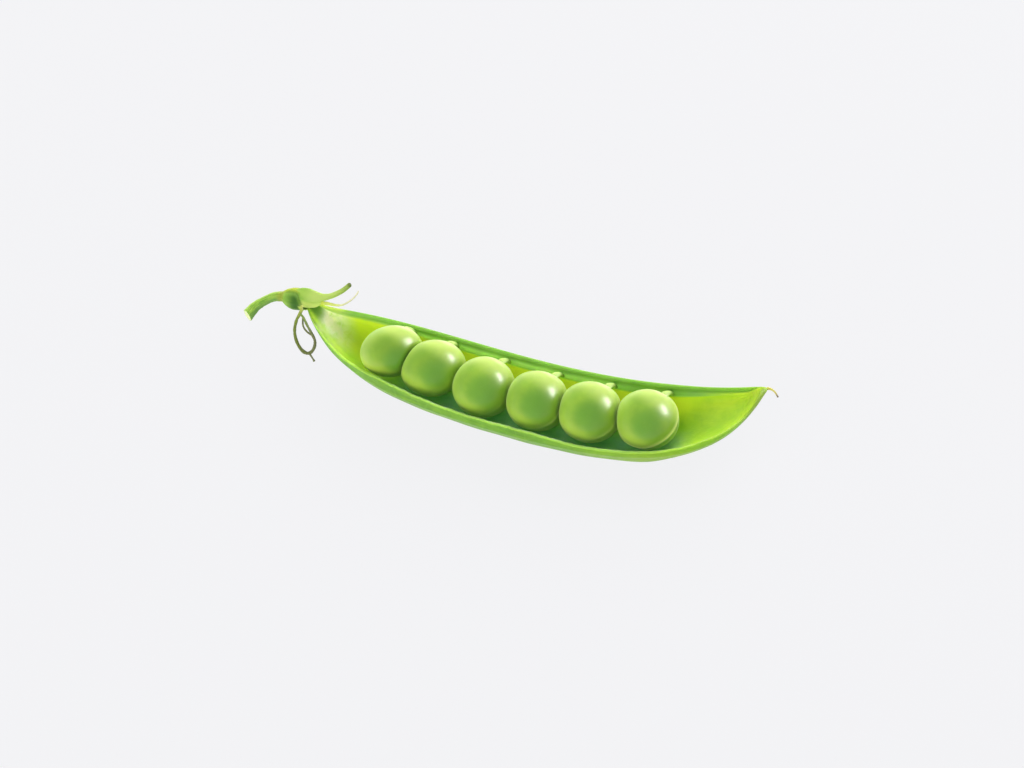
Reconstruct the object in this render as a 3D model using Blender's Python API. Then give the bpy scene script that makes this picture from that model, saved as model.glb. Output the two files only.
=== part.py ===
# A garden pea pod, opened along one side, with its six peas, its calyx and its cut stalk.
#
# The pod lies on its closed half with the opening up. +X runs from the stalk to the tip,
# +Z is up and z = 0 is the surface. The origin is the middle of the flat spot that the pod
# rests on. Lengths below are in millimetres; MM scales them to metres in the meshes.

import bpy
import bmesh
import numpy as np
from math import comb, cos, pi, radians, sin

MM = 0.001
GAP = 0.3                      # clearance between pieces that touch in the real pod

# Pod, seen from above: the two seams are Bezier curves of x and y
RIM_Z = 6.6                    # height of the plane through both seams
POD_START = -43.4              # the neck's end, inside the calyx
POD_END = 42.3                 # the tip
SEAM_FAR = [(POD_START, 11.6), (-36.0, 7.0), (-24.0, 13.7), (-10.0, 6.0), (6.0, 6.2),
            (24.0, 4.1), (POD_END, 10.0)]
SEAM_NEAR = [(-41.2, 9.8), (-40.6, 6.4), (-15.5, -22.7), (-11.6, 14.0), (39.8, -33.9),
             (39.5, 6.6), (POD_END, 8.2)]
NECK_NEAR = 9.5                # the near side of the neck runs straight into the calyx
NECK_BEND = 4.0                # how sharply the neck turns into the pod

# Pod, seen from the side: as deep as it is wide, up to the flat spot in the middle
FULL_DEPTH = 6.7               # a little over RIM_Z, so the keel is cut flat at z = 0
PLUMPNESS = (0.6, 1.2, 0.6)    # depth over half width: at the neck, along the pod, at the tip
PLUMP_RISE = (-41.0, -27.0)    # between these the neck fills out
PLUMP_FALL = (20.0, 35.0)      # between these the pod thins to its tip
DEPTH_SOFTNESS = 16.0

WALL = 0.95                    # wall at the keel
LIP_WALL = 0.45                # wall along the torn strip
FAR_LIP_WALL = 0.5             # wall along the far seam's edge
FAR_MARGIN = 0.5               # the far seam's edge stands this far over the seams' plane
STRIP_HEIGHTS = [(POD_START, 0.3), (-34.0, 1.0), (-22.0, 2.1), (-8.0, 1.55), (5.0, 1.7),
                 (16.0, 0.9), (26.0, 0.95), (34.0, 0.95), (POD_END, 0.1)]
STRIP_WAVE = 0.08              # slow waves of the torn edge
HOLLOW_START = (-43.0, -34.0)  # between these the solid neck opens into the hollow
HOLLOW_END = (38.8, 42.0)      # between these the hollow closes to the solid tip
CROWN = (0.1, 0.35)            # crown of the solid neck and tip, as a share of their half width
MOST_CROWN = 0.8
SEAM_RIB = 0.2                 # height of the ribs along both seams, outside
SEAM_RIB_SPREAD = 0.1          # their half width, in radians round the section
PLACENTA_RIB = 0.2             # height of the inner rib that the peas hang on
PLACENTA_ANGLE = 0.2
PLACENTA_SPREAD = 0.08
PEA_BULGE = 0.2                # swelling of the outer wall at each pea
PEA_BULGE_LENGTH = 3.4

STATIONS = 54
OUTER_POINTS = 34
INNER_POINTS = 26

# Peas: centre, half sizes along, across and up, turn about Z in degrees
PEAS = [((-22.7, 3.25, 7.7), (5.4, 4.25, 4.6), 27.0),
        ((-14.75, 2.0, 6.85), (5.6, 4.75, 4.95), 25.0),
        ((-5.0, 0.35, RIM_Z), (5.35, 5.15, 5.2), 15.0),
        ((4.85, -0.4, RIM_Z), (5.35, 5.1, 5.2), 5.0),
        ((14.4, -0.6, RIM_Z), (5.5, 5.15, 5.2), 0.0),
        ((24.3, -0.05, RIM_Z), (5.4, 5.05, 5.15), 0.0)]
PEA_SIDES = 26
PEA_RINGS = 15
CONTACT_SOFTNESS = 24.0        # power of the smooth minimum that flattens touching peas

# Funicles, the short cords that the peas hang on
FUNICLE_TURN = 8.0             # degrees from +Y towards +X
FUNICLE_RADII = (0.8, 0.55)    # at the wall and at the pea
FUNICLE_SUNK = 0.5             # how deep the root sits in the wall
FUNICLE_SIDES = 10

# Calyx: a small cup round the neck, with a stiff spike and four short lobes
CUP_CENTRE = (10.5, RIM_Z)     # y and z of its axis, which runs along X
# The cup's profile as x and radius: up the outside to the rim, and down inside to its floor
CUP_PROFILE = [(-46.0, 0.75), (-45.7, 1.05), (-45.2, 1.45), (-44.5, 1.8), (-43.6, 1.92),
               (-42.7, 1.9), (-42.0, 1.86), (-42.05, 1.46), (-42.8, 1.45), (-43.8, 1.4)]
CUP_SIDES = 28
# Each lobe: the points of its middle line, and its half width at the root
LOBES = {
    "front": ([(-42.8, 10.1, 8.25), (-41.4, 10.0, 8.35), (-39.9, 9.8, 8.45), (-38.5, 9.5, 8.4)], 1.15),
    "far": ([(-42.8, 12.1, 6.3), (-41.6, 12.4, 5.9), (-40.4, 12.4, 5.5), (-39.4, 12.3, 5.0)], 0.95),
    "under": ([(-42.8, 10.9, 4.95), (-41.7, 11.0, 4.6), (-40.4, 11.1, 4.2), (-39.3, 11.3, 3.7)], 0.95),
    "near": ([(-42.8, 9.1, 5.6), (-42.0, 8.85, 5.3), (-41.2, 8.75, 4.9), (-40.6, 8.8, 4.4)], 0.8),
}
LOBE_HALF_THICKNESS = 0.32
LOBE_STATIONS = 12
LOBE_SIDES = 10
SPIKE_PATH = [(-42.8, 11.2, 8.2), (-40.8, 10.75, 8.6), (-38.8, 10.45, 8.85), (-37.3, 10.5, 9.05),
              (-35.9, 11.1, 9.2), (-34.5, 12.15, 9.5), (-33.5, 13.15, 9.8)]
SPIKE_RADII = (0.62, 0.5, 0.42)
SPIKE_STATIONS = 18

# Stalk: from its cut end to the joint under the calyx
STALK_PATH = [(-51.9, 6.6, 4.6), (-50.8, 8.3, 5.2), (-49.0, 9.55, 5.9), (-47.5, 10.2, 6.4),
              (-46.4, 10.4, 6.6)]
STALK_RADII = (1.05, 0.84, 0.74, 0.86, 0.78)
STALK_STATIONS = 22
STALK_SIDES = 16

# Dry threads: the withered stamens, a pale filament and the style at the tip
STAMEN_LOOP = [(-41.2, 8.6, 8.2), (-41.1, 7.7, 7.95), (-41.3, 6.95, 7.6), (-41.7, 6.2, 7.0),
               (-41.9, 5.0, 6.0), (-41.6, 3.9, 5.2), (-40.9, 2.9, 4.6), (-39.9, 2.1, 4.1),
               (-38.9, 1.9, 3.9), (-38.2, 2.3, 4.1), (-37.8, 3.1, 4.7), (-37.9, 3.9, 5.4),
               (-38.6, 4.7, 6.3), (-39.4, 5.5, 7.3), (-40.2, 6.4, 7.8), (-41.1, 7.1, 7.9)]
STAMEN_STRAND = [(-40.4, 6.5, 7.8), (-40.2, 5.4, 6.9), (-39.4, 4.7, 6.4), (-38.4, 4.4, 5.9)]
STAMEN_TAIL = [(-38.7, 2.0, 4.0), (-38.2, 1.6, 3.7), (-37.5, 1.0, 3.1)]
FILAMENT = [(-37.9, 9.55, 8.45), (-36.7, 9.6, 8.5), (-35.1, 9.6, 8.5), (-33.9, 9.85, 8.6),
            (-32.7, 10.9, 8.8), (-32.0, 12.1, 9.0), (-31.9, 12.8, 9.1)]
STYLE = [(POD_END + 1.3 * GAP, 9.7, 6.6), (43.0, 9.5, 6.35), (43.5, 9.3, 6.0), (44.1, 9.0, 5.4)]
LOOP_RADIUS = 0.36
STRAND_RADIUS = 0.25
FILAMENT_RADIUS = 0.26
STYLE_RADIUS = 0.27
THREAD_SIDES = 8


def material(name, colour, roughness):
    """A Principled material with one colour; nothing on the pod is metallic."""
    made = bpy.data.materials.new(name)
    made.use_nodes = True
    shader = made.node_tree.nodes["Principled BSDF"]
    shader.inputs["Base Color"].default_value = (*colour, 1.0)
    shader.inputs["Roughness"].default_value = roughness
    shader.inputs["Metallic"].default_value = 0.0
    made.diffuse_color = (*colour, 1.0)
    return made


def add_object(name, points, faces, finish=None):
    """A smooth-shaded mesh object from points in millimetres."""
    mesh = bpy.data.meshes.new(name)
    mesh.from_pydata((np.asarray(points) * MM).tolist(), [], faces)
    mesh.validate()
    mesh.shade_smooth()
    made = bpy.data.objects.new(name, mesh)
    bpy.context.collection.objects.link(made)
    if finish:
        mesh.materials.append(finish)
    return made


def loft(name, rings, finish=None):
    """A closed skin over a row of rings, shape (rings, points, 3), with a fan on each end."""
    count, around = rings.shape[:2]
    points = [*rings.reshape(-1, 3), rings[0].mean(0), rings[-1].mean(0)]
    faces = []
    for ring in range(count - 1):
        for k in range(around):
            low = ring * around + k
            high = ring * around + (k + 1) % around
            faces.append((low, high, high + around, low + around))
    first, last = count * around, count * around + 1
    end = (count - 1) * around
    for k in range(around):
        faces.append((first, (k + 1) % around, k))
        faces.append((last, end + k, end + (k + 1) % around))
    made = add_object(name, points, faces, finish)
    face_outwards(made)
    return made


def face_outwards(target):
    """Turns every face of a closed mesh outwards."""
    shape = bmesh.new()
    shape.from_mesh(target.data)
    bmesh.ops.recalc_face_normals(shape, faces=shape.faces)
    shape.to_mesh(target.data)
    shape.free()


def bezier(points, count):
    """The Bezier curve of these control points, at an even count of parameters."""
    points = np.asarray(points, float)
    t = np.linspace(0.0, 1.0, count)[:, None]
    order = len(points) - 1
    return sum(comb(order, i) * t**i * (1 - t)**(order - i) * points[i] for i in range(order + 1))


def smooth_path(points, count):
    """A Catmull-Rom curve through the points, evenly spaced along its length."""
    points = np.asarray(points, float)
    ends = np.vstack([2 * points[0] - points[1], points, 2 * points[-1] - points[-2]])
    a, b, c, d = ends[:-3, None], ends[1:-2, None], ends[2:-1, None], ends[3:, None]
    t = np.linspace(0.0, 1.0, 12, endpoint=False)[None, :, None]
    curve = 0.5 * (2 * b + (c - a) * t + (2 * a - 5 * b + 4 * c - d) * t**2
                   + (3 * b - a - 3 * c + d) * t**3)
    curve = np.vstack([curve.reshape(-1, 3), points[-1:]])
    along = np.r_[0.0, np.cumsum(np.linalg.norm(np.diff(curve, axis=0), axis=1))]
    even = np.linspace(0.0, along[-1], count)
    return np.stack([np.interp(even, along, curve[:, k]) for k in range(3)], 1)


def smoothstep(low, high, x):
    t = np.clip((np.asarray(x, float) - low) / (high - low), 0.0, 1.0)
    return t * t * (3 - 2 * t)


def hump(x, spread):
    """A bell of height 1 about x = 0."""
    return np.exp(-(x / spread)**2)


def seam(points, x):
    """The seam's y at each x."""
    curve = bezier(points, 400)
    return np.interp(x, curve[:, 0], curve[:, 1])


def near_seam(x):
    """The near seam's y: the smooth minimum of the pod's curve and the neck's straight side."""
    y = seam(SEAM_NEAR, x)
    return NECK_NEAR - np.log1p(np.exp(NECK_BEND * (NECK_NEAR - y))) / NECK_BEND


def pod_depth(half, x):
    """Depth below the seams: the smooth minimum of the full depth and the width's share."""
    neck, middle, tip = PLUMPNESS
    plump = neck + (middle - neck) * smoothstep(*PLUMP_RISE, x) + (tip - middle) * smoothstep(*PLUMP_FALL, x)
    return (FULL_DEPTH**-DEPTH_SOFTNESS + (half * plump)**-DEPTH_SOFTNESS)**(-1 / DEPTH_SOFTNESS)


def strip_height(x):
    """Height of the torn edge over the seams' plane: eased between the given points, with waves."""
    known = np.array(STRIP_HEIGHTS)
    index = np.clip(np.searchsorted(known[:, 0], x, side="right") - 1, 0, len(known) - 2)
    low, high = known[index], known[index + 1]
    share = (x - low[:, 0]) / (high[:, 0] - low[:, 0])
    eased = share * share * (3 - 2 * share)
    height = low[:, 1] + (high[:, 1] - low[:, 1]) * eased
    waves = STRIP_WAVE * (np.sin(1.3 * x) + 0.6 * np.sin(2.9 * x + 1.0))
    return height + waves * smoothstep(0.5, 1.2, height)


def pod_rings():
    """Sections of the pod across X: an outer arc from the far edge to the torn edge, and back inside.

    Outer arc, by angle t: y = middle + half width * cos t, z = rim - depth * sin t, raised by
    the ribs and the swell of the peas. The inner arc is the outer one, without its ribs, moved
    in by the wall. At the solid ends a crown from edge to edge takes its place.
    """
    share = np.linspace(0.0, 1.0, STATIONS)
    x = POD_START + (POD_END - POD_START) * (share - 0.1 * np.sin(2 * pi * share))
    far, near = seam(SEAM_FAR, x), near_seam(x)
    half, middle = ((far - near) / 2)[:, None], ((far + near) / 2)[:, None]
    x = x[:, None]
    depth = pod_depth(half, x)
    size = np.minimum(half, depth)
    margin = np.minimum(FAR_MARGIN, 0.4 * size)
    torn = np.minimum(strip_height(x[:, 0])[:, None], 0.45 * size)
    start, end = -np.arcsin(margin / depth), pi + np.arcsin(torn / depth)
    hollow = smoothstep(*HOLLOW_START, x) * (1 - smoothstep(*HOLLOW_END, x))
    swell = sum(hump(x - centre[0], PEA_BULGE_LENGTH) for centre, _, _ in PEAS) * PEA_BULGE

    def section(t, ribs):
        """Points at the angles t, and the outward direction there."""
        normal_y, normal_z = np.cos(t) * depth, -np.sin(t) * half
        length = np.hypot(normal_y, normal_z)
        normal_y, normal_z = normal_y / length, normal_z / length
        raised = ribs + swell * np.clip(np.sin(t), 0.0, 1.0)
        return (middle + half * np.cos(t) + normal_y * raised,
                np.maximum(RIM_Z - depth * np.sin(t) + normal_z * raised, 0.0), normal_y, normal_z)

    t = start + (end - start) * np.linspace(0.0, 1.0, OUTER_POINTS)
    ribs = SEAM_RIB * (hump(t, SEAM_RIB_SPREAD) + hump(t - pi, SEAM_RIB_SPREAD))
    ribs = ribs * smoothstep(1.5, 4.0, size)
    outer_y, outer_z, _, _ = section(t, ribs)

    v = np.linspace(0.0, 1.0, INNER_POINTS)
    t = end + (start - end) * v
    y, z, normal_y, normal_z = section(t, 0.0)
    wall = WALL - (WALL - LIP_WALL) * smoothstep(pi - 0.9, pi + 0.2, t)
    wall = wall - (WALL - FAR_LIP_WALL) * smoothstep(0.1, -0.1, t)
    wall = wall + PLACENTA_RIB * hump(t - PLACENTA_ANGLE, PLACENTA_SPREAD)
    wall = np.minimum(wall, 0.45 * size)
    phase = pi * (0.06 + 0.88 * v)
    crown = np.minimum(np.where(x < 0.0, CROWN[0], CROWN[1]) * half, MOST_CROWN)
    end_y = outer_y[:, -1:] + (outer_y[:, :1] - outer_y[:, -1:]) * (0.5 - 0.5 * np.cos(phase))
    end_z = outer_z[:, -1:] + (outer_z[:, :1] - outer_z[:, -1:]) * v + crown * np.sin(phase)
    inner_y = end_y + (y - normal_y * wall - end_y) * hollow
    inner_z = end_z + (z - normal_z * wall - end_z) * hollow

    section_y = np.concatenate([outer_y, inner_y], axis=1)
    section_z = np.concatenate([outer_z, inner_z], axis=1)
    return np.stack([np.broadcast_to(x, section_y.shape), section_y, section_z], -1)


def pea_axes(pea):
    """The pea's own axes as rows, and its half sizes."""
    _, sizes, turn = pea
    a = radians(turn)
    return np.array([[cos(a), sin(a), 0.0], [-sin(a), cos(a), 0.0], [0.0, 0.0, 1.0]]), np.array(sizes)


def contact_plane(pea, other):
    """Where two peas press: the plane's direction away from pea, and its distance from its centre."""
    apart = np.subtract(other[0], pea[0])
    pull = np.zeros(3)
    reach = []
    for one in (pea, other):
        axes, sizes = pea_axes(one)
        pull += axes.T @ ((axes @ apart) / sizes**2)
        reach.append(1.0 / np.linalg.norm((axes @ apart) / sizes))
    direction = pull / np.linalg.norm(pull)
    share = reach[0] / (reach[0] + reach[1])
    return direction, direction @ apart * share - GAP / 2


def pea_shape(index, sides, rings):
    """A pea's points: an ellipsoid whose reach is the smooth minimum of its own and its contact planes'."""
    pea = PEAS[index]
    around = np.linspace(0.0, 2 * pi, sides, endpoint=False)
    up = np.linspace(-pi / 2, pi / 2, rings + 2)[1:-1]
    grid_a, grid_u = np.meshgrid(around, up)
    ways = np.stack([np.cos(grid_u) * np.cos(grid_a), np.cos(grid_u) * np.sin(grid_a), np.sin(grid_u)], -1)
    ways = np.concatenate([[[0.0, 0.0, -1.0]], ways.reshape(-1, 3), [[0.0, 0.0, 1.0]]])
    axes, sizes = pea_axes(pea)
    closeness = np.linalg.norm((ways @ axes.T) / sizes, axis=1)**CONTACT_SOFTNESS
    for neighbour in (index - 1, index + 1):
        if 0 <= neighbour < len(PEAS):
            direction, distance = contact_plane(pea, PEAS[neighbour])
            closeness += (np.clip(ways @ direction, 0.0, 1.0) / distance)**CONTACT_SOFTNESS
    reach = closeness**(-1.0 / CONTACT_SOFTNESS)
    return np.array(pea[0]) + ways * reach[:, None]


def add_pea(index, finish):
    points = pea_shape(index, PEA_SIDES, PEA_RINGS)
    faces = []
    top = len(points) - 1
    last = 1 + (PEA_RINGS - 1) * PEA_SIDES
    for k in range(PEA_SIDES):
        nxt = (k + 1) % PEA_SIDES
        faces.append((0, 1 + nxt, 1 + k))
        faces.append((top, last + k, last + nxt))
        for ring in range(PEA_RINGS - 1):
            low = 1 + ring * PEA_SIDES
            faces.append((low + k, low + nxt, low + PEA_SIDES + nxt, low + PEA_SIDES + k))
    return add_object("pea_%d" % (index + 1), points, faces, finish)


def frames_along(path):
    """For each point of a path, two directions across it that turn as little as they can."""
    along = np.gradient(path, axis=0)
    along = along / np.linalg.norm(along, axis=1)[:, None]
    side = np.cross(along[0], (0.0, 0.0, 1.0))
    sides = []
    for way in along:
        side = side - way * (side @ way)
        side = side / np.linalg.norm(side)
        sides.append(side)
    sides = np.array(sides)
    return sides, np.cross(sides, along)


def swept(name, path, widths, heights, sides, finish=None):
    """A closed bar with an oval section along a path, its ends rounded off."""
    across, upward = frames_along(path)
    angle = np.linspace(0.0, 2 * pi, sides, endpoint=False)
    rings = (path[:, None] + across[:, None] * (np.outer(widths, np.cos(angle)))[..., None]
             + upward[:, None] * (np.outer(heights, np.sin(angle)))[..., None])
    return loft(name, rings, finish)


def rounded(count, end_share, least):
    """Widths along a bar, 1 in its middle and easing to a small value at each end."""
    share = np.linspace(0.0, 1.0, count)
    from_end = np.minimum(share, 1 - share) / end_share
    return np.maximum(np.sqrt(np.clip(1 - (1 - np.clip(from_end, 0.0, 1.0))**2, 0.0, 1.0)), least)


def thread(name, points, radius, count, finish=None):
    """A thin round thread with domed ends."""
    radii = radius * rounded(count, 1.5 / count, 0.45)
    return swept(name, smooth_path(points, count), radii, radii, THREAD_SIDES, finish)


def union(target, extras):
    """Fuses the extra objects into the target by one Boolean, applied, and removes them."""
    group = bpy.data.collections.new(target.name + "_extras")
    bpy.context.scene.collection.children.link(group)
    for extra in extras:
        bpy.context.collection.objects.unlink(extra)
        group.objects.link(extra)
    fuse = target.modifiers.new("fuse", "BOOLEAN")
    fuse.operation = "UNION"
    fuse.operand_type = "COLLECTION"
    fuse.solver = "EXACT"
    fuse.collection = group
    evaluated = target.evaluated_get(bpy.context.evaluated_depsgraph_get())
    fused = bpy.data.meshes.new_from_object(evaluated)
    target.modifiers.clear()
    target.data = fused
    for extra in extras:
        bpy.data.objects.remove(extra)
    bpy.data.collections.remove(group)
    weld(target)
    return target


def weld(target):
    """Closes the hairline doubles that a Boolean can leave."""
    shape = bmesh.new()
    shape.from_mesh(target.data)
    bmesh.ops.remove_doubles(shape, verts=shape.verts, dist=0.001 * MM)
    bmesh.ops.dissolve_degenerate(shape, edges=shape.edges, dist=0.001 * MM)
    shape.to_mesh(target.data)
    shape.free()
    target.data.shade_smooth()


def add_pod(finish):
    """The pod's wall with both seams, the torn strip and the six funicles."""
    pod = loft("pod_shell", pod_rings(), finish)
    turn = radians(FUNICLE_TURN)
    funicles = []
    for number, pea in enumerate(PEAS):
        way = np.array([sin(turn), cos(turn), -0.12])
        way = way / np.linalg.norm(way)
        axes, sizes = pea_axes(pea)
        centre = np.array(pea[0])
        from_pea = centre + way * (1.0 / np.linalg.norm((axes @ way) / sizes) + GAP)
        wall_x = from_pea[0]
        wall_y = float(seam(SEAM_FAR, wall_x)) - WALL + FUNICLE_SUNK
        to_wall = from_pea + way * (wall_y - from_pea[1]) / way[1]
        path = np.linspace(to_wall, from_pea, 4)
        radii = np.linspace(*FUNICLE_RADII, 4)
        funicles.append(swept("funicle_%d" % number, path, radii, radii, FUNICLE_SIDES))
    return union(pod, funicles)


def add_calyx(finish):
    """A turned cup round the pod's neck, with four lobes and the spike fused to its rim."""
    angle = np.linspace(0.0, 2 * pi, CUP_SIDES, endpoint=False)
    rings = []
    for x, radius in CUP_PROFILE:
        rings.append(np.stack([np.full(CUP_SIDES, x), CUP_CENTRE[0] + radius * np.cos(angle),
                               CUP_CENTRE[1] + radius * np.sin(angle)], 1))
    cup = loft("calyx", np.array(rings), finish)
    extras = []
    for lobe, (points, half_width) in LOBES.items():
        taper = np.maximum(np.cos(np.linspace(0.0, pi / 2, LOBE_STATIONS))**0.8, 0.25)
        extras.append(lobe_blade("lobe_" + lobe, smooth_path(points, LOBE_STATIONS), half_width * taper))
    radii = np.interp(np.linspace(0.0, 1.0, SPIKE_STATIONS), (0.0, 0.4, 1.0), SPIKE_RADII)
    radii[-1] *= 0.6
    extras.append(swept("spike", smooth_path(SPIKE_PATH, SPIKE_STATIONS), radii, radii, THREAD_SIDES))
    return union(cup, extras)


def lobe_blade(name, path, half_widths):
    """A flat blade whose width lies round the calyx and whose thickness points away from its axis."""
    along = np.gradient(path, axis=0)
    along = along / np.linalg.norm(along, axis=1)[:, None]
    axis = path.copy()
    axis[:, 1:] = CUP_CENTRE
    out = path - axis
    out = out - along * np.sum(out * along, axis=1)[:, None]
    out = out / np.linalg.norm(out, axis=1)[:, None]
    across = np.cross(along, out)
    angle = np.linspace(0.0, 2 * pi, LOBE_SIDES, endpoint=False)
    rings = (path[:, None] + across[:, None] * (np.outer(half_widths, np.cos(angle)))[..., None]
             + out[:, None] * (LOBE_HALF_THICKNESS * np.sin(angle))[None, :, None])
    return loft(name, rings)


def add_stalk(finish):
    """The cut stalk, thickest at its cut and swollen at the joint under the calyx."""
    radii = np.interp(np.linspace(0.0, 1.0, STALK_STATIONS), np.linspace(0.0, 1.0, len(STALK_RADII)),
                      STALK_RADII)
    return swept("stalk", smooth_path(STALK_PATH, STALK_STATIONS), radii, radii, STALK_SIDES, finish)


def add_stamens(finish):
    """The withered stamens: a loop, a thinner strand that closes it and a short tail."""
    loop = thread("stamens", STAMEN_LOOP, LOOP_RADIUS, 40, finish)
    strand = thread("strand", STAMEN_STRAND, STRAND_RADIUS, 12)
    tail = thread("tail", STAMEN_TAIL, STRAND_RADIUS, 8)
    return union(loop, [strand, tail])


def build():
    for old in list(bpy.data.objects):
        bpy.data.objects.remove(old)
    pod_green = material("pod_green", (0.20, 0.36, 0.05), 0.42)
    pea_green = material("pea_green", (0.30, 0.46, 0.06), 0.28)
    calyx_green = material("calyx_green", (0.30, 0.38, 0.09), 0.5)
    stalk_green = material("stalk_green", (0.25, 0.34, 0.08), 0.5)
    dry_olive = material("dry_olive", (0.20, 0.15, 0.06), 0.7)
    dry_pale = material("dry_pale", (0.55, 0.48, 0.30), 0.7)
    add_pod(pod_green)
    for index in range(len(PEAS)):
        add_pea(index, pea_green)
    add_calyx(calyx_green)
    add_stalk(stalk_green)
    add_stamens(dry_olive)
    thread("filament", FILAMENT, FILAMENT_RADIUS, 20, dry_pale)
    thread("style", STYLE, STYLE_RADIUS, 10, dry_pale)


build()
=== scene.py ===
import bpy
import numpy as np
from math import comb, cos, pi, radians, sin
from mathutils import Matrix


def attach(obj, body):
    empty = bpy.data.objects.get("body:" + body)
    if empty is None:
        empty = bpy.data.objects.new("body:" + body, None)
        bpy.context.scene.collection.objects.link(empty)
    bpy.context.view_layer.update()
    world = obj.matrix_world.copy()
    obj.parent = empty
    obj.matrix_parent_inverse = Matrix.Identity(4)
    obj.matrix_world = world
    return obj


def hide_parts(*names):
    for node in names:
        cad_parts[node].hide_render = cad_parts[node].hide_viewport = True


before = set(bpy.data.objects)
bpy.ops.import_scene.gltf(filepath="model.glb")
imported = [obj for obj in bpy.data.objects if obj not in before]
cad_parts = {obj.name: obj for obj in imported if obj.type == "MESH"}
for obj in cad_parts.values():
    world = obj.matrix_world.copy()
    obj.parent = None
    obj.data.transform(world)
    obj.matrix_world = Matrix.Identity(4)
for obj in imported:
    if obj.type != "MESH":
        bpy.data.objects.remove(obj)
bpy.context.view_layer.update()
mm = 0.001  # sizes below are in millimetres, meshes in metres
print("frame loaded:", len(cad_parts), "solids")


# Curves and number helpers

def bezier(points, count):
    # sum of binomial * t^i * (1 - t)^(n - i) * point i
    points = np.asarray(points, float)
    t = np.linspace(0.0, 1.0, count)[:, None]
    order = len(points) - 1
    return sum(comb(order, i) * t**i * (1 - t)**(order - i) * points[i] for i in range(order + 1))


def smoothPath(points, count):
    # Catmull-Rom curve through the points, then evenly spaced along its length
    points = np.asarray(points, float)
    ends = np.vstack([2 * points[0] - points[1], points, 2 * points[-1] - points[-2]])
    a, b, c, d = ends[:-3, None], ends[1:-2, None], ends[2:-1, None], ends[3:, None]
    steps = 24
    t = np.linspace(0.0, 1.0, steps, endpoint=False)[None, :, None]
    curve = 0.5 * (2 * b + (c - a) * t + (2 * a - 5 * b + 4 * c - d) * t**2
                   + (3 * b - a - 3 * c + d) * t**3)
    curve = np.vstack([curve.reshape(-1, 3), points[-1:]])
    along = np.r_[0.0, np.cumsum(np.linalg.norm(np.diff(curve, axis=0), axis=1))]
    even = np.linspace(0.0, along[-1], count)
    return np.stack([np.interp(even, along, curve[:, k]) for k in range(3)], 1)


def smoothstep(low, high, x):
    t = np.clip((np.asarray(x, float) - low) / (high - low), 0.0, 1.0)
    return t * t * (3 - 2 * t)


def blend(low, high, share):
    return low + (high - low) * share


def readOff(table, x):
    table = np.array(table)
    return np.interp(x, table[:, 0], table[:, 1])


def unit(vectors):
    vectors = np.asarray(vectors, float)
    return vectors / np.linalg.norm(vectors, axis=-1, keepdims=True)


def hump(x, spread):
    # bell of height 1 about 0
    return np.exp(-(x / spread)**2)


def waves(x, scale, seed):
    # soft noise of about -1..1 along a line: five sines of unlike lengths and phases
    draw = np.random.default_rng(seed)
    lengths = scale * draw.uniform(0.6, 1.7, 5)
    phases = draw.uniform(0.0, 2 * pi, 5)
    return sum(np.sin(2 * pi * x / one + shift) for one, shift in zip(lengths, phases)) / 2.5


# Mesh helpers

def gridFaces(rows, columns, first):
    # one quad for each cell of a grid of points that closes around
    index = first + np.arange(rows * columns).reshape(rows, columns)
    index = np.hstack([index, index[:, :1]])
    return np.stack([index[:-1, :-1], index[:-1, 1:], index[1:, 1:], index[1:, :-1]], -1).reshape(-1, 4)


def fanFaces(ring, centre, flip):
    # triangles from a ring of point numbers to its centre
    after = np.roll(ring, -1)
    middle = np.full(len(ring), centre)
    return np.stack([after, ring, middle], -1) if flip else np.stack([ring, after, middle], -1)


def closedSkin(rings, first):
    # points and faces of a tube of rings (rings, around, 3) with both ends closed by a fan
    count, around = rings.shape[:2]
    points = np.concatenate([rings.reshape(-1, 3), [rings[0].mean(0)], [rings[-1].mean(0)]])
    last = first + (count - 1) * around
    start = fanFaces(first + np.arange(around), first + count * around, False)
    end = fanFaces(last + np.arange(around), first + count * around + 1, True)
    return points, [gridFaces(count, around, first), start, end]


def ringValues(values):
    # a value for each point of a closed skin, its two end centres taking their ring's mean
    return np.concatenate([values.ravel(), [values[0].mean()], [values[-1].mean()]])


def volumeOf(points, faceSets):
    # signed volume: a sixth of the sum of corner * (corner x corner) over the triangles
    total = 0.0
    for faces in faceSets:
        for k in range(1, faces.shape[1] - 1):
            a, b, c = points[faces[:, 0]], points[faces[:, k]], points[faces[:, k + 1]]
            total += np.einsum("ij,ij->i", a, np.cross(b, c)).sum() / 6
    return total


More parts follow.
